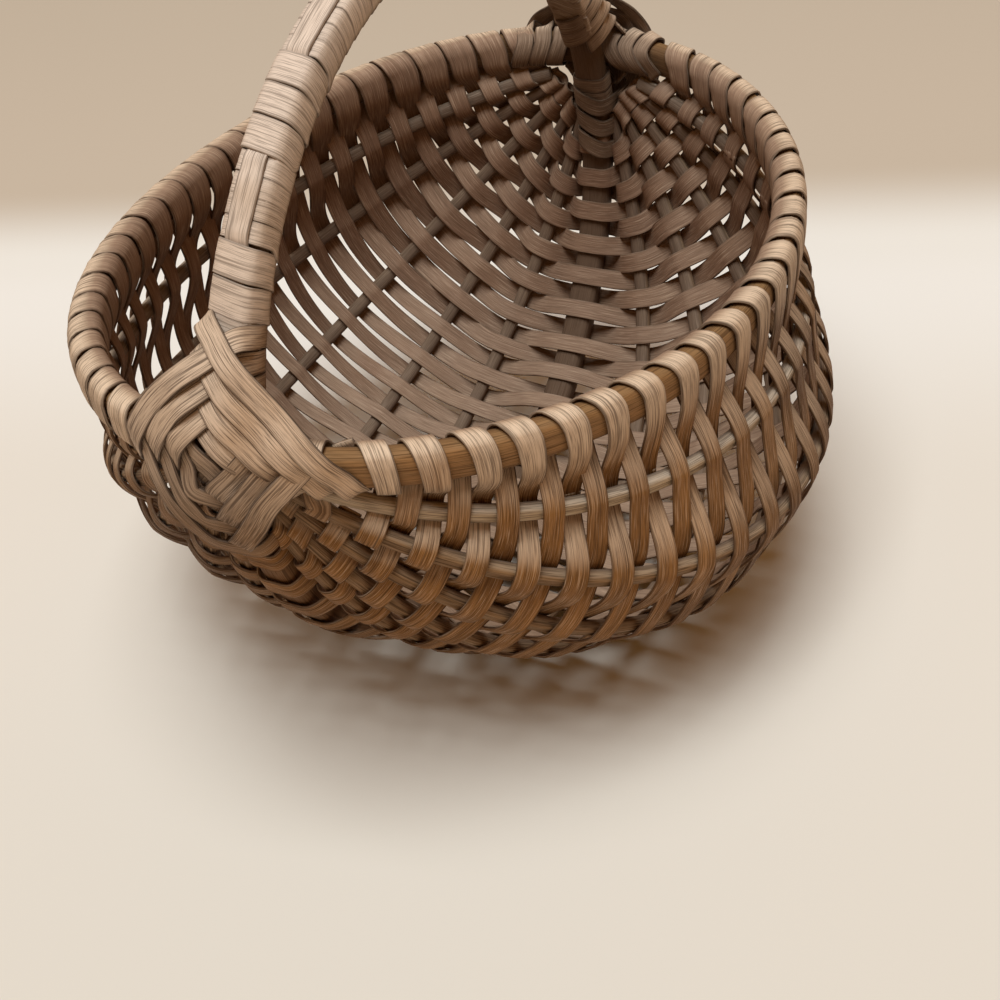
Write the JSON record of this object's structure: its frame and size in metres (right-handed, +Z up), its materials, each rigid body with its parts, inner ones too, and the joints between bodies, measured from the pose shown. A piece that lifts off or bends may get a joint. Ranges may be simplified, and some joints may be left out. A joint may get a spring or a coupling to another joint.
{
  "type": "buttocks basket",
  "caption": "Small two-lobed ribbed basket of flat reed woven between an oval rim hoop and a round handle hoop, with wound ears where the hoops cross.",
  "frame": {"origin": "on the ground under the middle of the basket", "axes": "+Z up, +Y from the front ear to the back ear, +X to the right lobe"},
  "size_m": [0.2088, 0.2222, 0.2002],
  "materials": {
    "hoop_wood": "bare golden-brown split wood, worn smooth",
    "rib_wood": "weathered grey wood",
    "weaver_reed": "dry flat reed with fine lengthwise grain",
    "ear_reed": "dry flat reed with fine lengthwise grain",
    "handle_reed": "grey weathered flat reed with fine lengthwise grain"
  },
  "bodies": {
    "root": {"rim_hoop": "hoop_wood", "handle_hoop": "hoop_wood", "rib_right_1": "rib_wood", "rib_right_2": "rib_wood", "rib_right_3": "rib_wood", "rib_right_4": "rib_wood", "rib_right_5": "rib_wood", "rib_left_1": "rib_wood", "rib_left_2": "rib_wood", "rib_left_3": "rib_wood", "rib_left_4": "rib_wood", "rib_left_5": "rib_wood", "weaver_01": "weaver_reed", "weaver_02": "weaver_reed", "weaver_03": "weaver_reed", "weaver_04": "weaver_reed", "weaver_05": "weaver_reed", "weaver_06": "weaver_reed", "weaver_07": "weaver_reed", "weaver_08": "weaver_reed", "weaver_09": "weaver_reed", "weaver_10": "weaver_reed", "weaver_11": "weaver_reed", "ear_front": "ear_reed", "ear_back": "ear_reed", "handle_wrap_front": "handle_reed", "handle_wrap_back": "handle_reed", "handle_runner": "handle_reed"}
  },
  "joints": []
}
